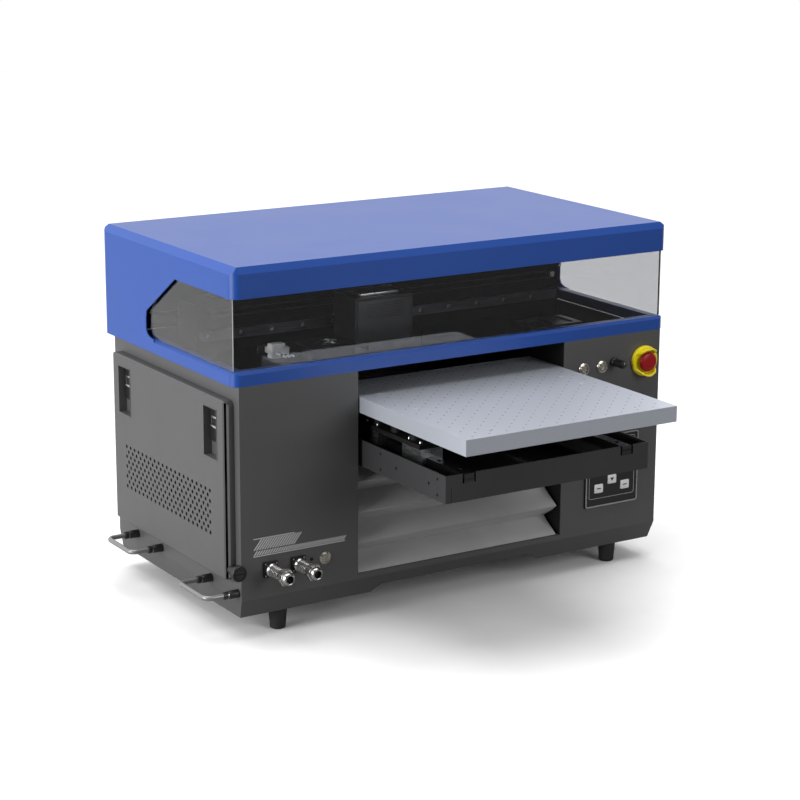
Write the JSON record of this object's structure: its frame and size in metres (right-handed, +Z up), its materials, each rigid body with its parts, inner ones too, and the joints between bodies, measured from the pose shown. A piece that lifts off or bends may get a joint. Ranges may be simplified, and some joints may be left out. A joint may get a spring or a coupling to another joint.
{
  "type": "flatbed uv printer",
  "caption": "Desktop flatbed UV printer: graphite cabinet, blue lifting hood with smoked window, sliding lifting work bed, print carriage and pull-out handles.",
  "frame": {"origin": "centre of the bounding box's footprint, at floor level under the feet", "axes": "+X to the machine's right as the operator faces it, +Y from front to rear, +Z up"},
  "size_m": [0.983, 0.849, 0.656],
  "materials": {
    "graphite_paint": "fine textured graphite powder coat",
    "blue_paint": "smooth satin royal blue powder coat",
    "black_paint": "matte black coated sheet",
    "black_aluminium": "black anodised aluminium beam",
    "black_plastic": "moulded black plastic",
    "black_rubber": "matte black rubber",
    "smoked_window": "clear smoked acrylic sheet",
    "bed_aluminium": "milled and anodised aluminium",
    "steel": "ground and brushed steel",
    "nickel": "nickel plated brass",
    "bellows_cloth": "grey coated bellows cloth, folded",
    "yellow_plastic": "yellow gloss plastic",
    "red_plastic": "red gloss plastic",
    "white_plastic": "white moulded plastic",
    "handle_steel": "grey coated steel tube"
  },
  "bodies": {
    "cabinet": {"base_pan": "graphite_paint", "front_panel": "graphite_paint", "left_wall": "graphite_paint", "right_wall": "graphite_paint", "rear_panel": "graphite_paint", "cheeks": "black_paint", "deck_plate": "black_paint", "feet": "black_rubber", "cable_glands": "nickel", "round_plug": "nickel", "button_bezels": "nickel", "estop_guard": "yellow_plastic", "keypad": "black_plastic", "lift_guides": "steel", "drive_motors": "black_paint", "gantry_beam": "black_aluminium", "gantry_rail": "steel", "carriage_belt": "black_rubber", "cap_tray": "black_plastic", "ink_bottles": "black_plastic", "control_box": "steel", "rear_inlet": "black_plastic", "rear_fan_frame": "black_plastic", "hood_hinges": "steel"},
    "lift": {"bellows": "bellows_cloth", "lift_frame": "graphite_paint", "tray_bearers": "graphite_paint", "bed_rails": "black_paint", "bed_motor": "black_paint"},
    "bed": {"bed_plate": "bed_aluminium", "bed_cradle": "black_paint", "bed_blocks": "steel"},
    "lift_screw_left": {"lift_screw_left": "steel"},
    "lift_screw_right": {"lift_screw_right": "steel"},
    "bed_drive_screw": {"bed_drive_screw": "steel"},
    "carriage": {"carriage": "graphite_paint", "print_head": "black_plastic", "uv_lamp": "black_plastic", "ink_manifold": "white_plastic"},
    "lamp_fan": {"lamp_fan": "black_plastic"},
    "carriage_pulley": {"carriage_pulley": "steel"},
    "hood": {"hood_shell": "blue_paint", "window": "smoked_window"},
    "service_panel": {"service_panel": "graphite_paint"},
    "latch_front": {"latch_front": "steel"},
    "latch_rear": {"latch_rear": "steel"},
    "lock_knob": {"lock_knob": "black_plastic"},
    "handle_left_front": {"handle_left_front": "handle_steel"},
    "handle_left_rear": {"handle_left_rear": "handle_steel"},
    "handle_right_front": {"handle_right_front": "handle_steel"},
    "handle_right_rear": {"handle_right_rear": "handle_steel"},
    "estop_button": {"estop_button": "red_plastic"},
    "start_button": {"start_button": "nickel"},
    "stop_button": {"stop_button": "nickel"},
    "selector_knob": {"selector_knob": "black_plastic"},
    "key_up": {"key_up": "white_plastic"},
    "key_down": {"key_down": "white_plastic"},
    "key_left": {"key_left": "white_plastic"},
    "key_right": {"key_right": "white_plastic"},
    "rear_fan_rotor": {"rear_fan_rotor": "black_plastic"}
  },
  "joints": [
    {"name": "lift_slide", "type": "slide", "parent": "cabinet", "child": "lift", "axis": [0, 0, 1], "range_m": [-0.14, 0.04], "deforming": ["bellows"]},
    {"name": "bed_slide", "type": "slide", "parent": "lift", "child": "bed", "axis": [0, 1, 0], "range_m": [0, 0.338]},
    {"name": "lift_screw_left_turn", "type": "hinge", "parent": "cabinet", "child": "lift_screw_left", "pos_m": [-0.221, 0.0985, 0.2], "axis": [0, 0, 1], "range_deg": [-2600, 800]},
    {"name": "lift_screw_right_turn", "type": "hinge", "parent": "cabinet", "child": "lift_screw_right", "pos_m": [0.282, 0.0985, 0.2], "axis": [0, 0, 1], "range_deg": [-2600, 800]},
    {"name": "bed_screw_turn", "type": "hinge", "parent": "lift", "child": "bed_drive_screw", "pos_m": [0.0305, -0.0915, 0.303], "axis": [0, 1, 0], "range_deg": [-10, 6200]},
    {"name": "carriage_slide", "type": "slide", "parent": "cabinet", "child": "carriage", "axis": [1, 0, 0], "range_m": [-0.1, 0.4]},
    {"name": "carriage_pulley_turn", "type": "hinge", "parent": "cabinet", "child": "carriage_pulley", "pos_m": [0.355, 0.0985, 0.53875], "axis": [0, 1, 0], "range_deg": [-3900, 1000]},
    {"name": "lamp_fan_spin", "type": "hinge", "parent": "carriage", "child": "lamp_fan", "pos_m": [-0.175, 0.0345, 0.472], "axis": [0, 0, 1], "continuous": true},
    {"name": "rear_fan_spin", "type": "hinge", "parent": "cabinet", "child": "rear_fan_rotor", "pos_m": [0.355, 0.3845, 0.33], "axis": [0, 1, 0], "continuous": true},
    {"name": "hood_lift", "type": "hinge", "parent": "cabinet", "child": "hood", "pos_m": [0.025, 0.4115, 0.446], "axis": [-1, 0, 0], "range_deg": [0, 60]},
    {"name": "panel_tilt", "type": "hinge", "parent": "cabinet", "child": "service_panel", "pos_m": [-0.4282, 0.1485, 0.1044], "axis": [0, -1, 0], "range_deg": [0, 40]},
    {"name": "latch_front_slide", "type": "slide", "parent": "service_panel", "child": "latch_front", "axis": [0, 0, -1], "range_m": [0, 0.012], "stiffness_N_per_m": 300, "springref_m": -0.004},
    {"name": "latch_rear_slide", "type": "slide", "parent": "service_panel", "child": "latch_rear", "axis": [0, 0, -1], "range_m": [0, 0.012], "stiffness_N_per_m": 300, "springref_m": -0.004},
    {"name": "lock_turn", "type": "hinge", "parent": "service_panel", "child": "lock_knob", "pos_m": [-0.434, -0.0815, 0.127], "axis": [0, 1, 0], "range_deg": [0, 90]},
    {"name": "handle_left_front_slide", "type": "slide", "parent": "cabinet", "child": "handle_left_front", "axis": [1, 0, 0], "range_m": [0, 0.05]},
    {"name": "handle_left_rear_slide", "type": "slide", "parent": "cabinet", "child": "handle_left_rear", "axis": [1, 0, 0], "range_m": [0, 0.05]},
    {"name": "handle_right_front_slide", "type": "slide", "parent": "cabinet", "child": "handle_right_front", "axis": [1, 0, 0], "range_m": [0, 0.05]},
    {"name": "handle_right_rear_slide", "type": "slide", "parent": "cabinet", "child": "handle_right_rear", "axis": [1, 0, 0], "range_m": [0, 0.05]},
    {"name": "estop_press", "type": "slide", "parent": "cabinet", "child": "estop_button", "axis": [0, 1, 0], "range_m": [0, 0.004], "stiffness_N_per_m": 1500, "springref_m": -0.002},
    {"name": "start_press", "type": "slide", "parent": "cabinet", "child": "start_button", "axis": [0, 1, 0], "range_m": [0, 0.0025], "stiffness_N_per_m": 800, "springref_m": -0.001},
    {"name": "stop_press", "type": "slide", "parent": "cabinet", "child": "stop_button", "axis": [0, 1, 0], "range_m": [0, 0.0025], "stiffness_N_per_m": 800, "springref_m": -0.001},
    {"name": "selector_turn", "type": "hinge", "parent": "cabinet", "child": "selector_knob", "pos_m": [0.367, -0.0915, 0.401], "axis": [0, -1, 0], "range_deg": [-135, 135]},
    {"name": "key_up_press", "type": "slide", "parent": "cabinet", "child": "key_up", "axis": [0, 1, 0], "range_m": [0, 0.0008], "stiffness_N_per_m": 600, "springref_m": -0.0005},
    {"name": "key_down_press", "type": "slide", "parent": "cabinet", "child": "key_down", "axis": [0, 1, 0], "range_m": [0, 0.0008], "stiffness_N_per_m": 600, "springref_m": -0.0005},
    {"name": "key_left_press", "type": "slide", "parent": "cabinet", "child": "key_left", "axis": [0, 1, 0], "range_m": [0, 0.0008], "stiffness_N_per_m": 600, "springref_m": -0.0005},
    {"name": "key_right_press", "type": "slide", "parent": "cabinet", "child": "key_right", "axis": [0, 1, 0], "range_m": [0, 0.0008], "stiffness_N_per_m": 600, "springref_m": -0.0005}
  ],
  "couplings": [
    {"joint": "lift_screw_left_turn", "follows": "lift_slide", "rad_per_m": 314.16},
    {"joint": "lift_screw_right_turn", "follows": "lift_slide", "rad_per_m": 314.16},
    {"joint": "bed_screw_turn", "follows": "bed_slide", "rad_per_m": 314.16},
    {"joint": "carriage_pulley_turn", "follows": "carriage_slide", "rad_per_m": -166.67}
  ]
}
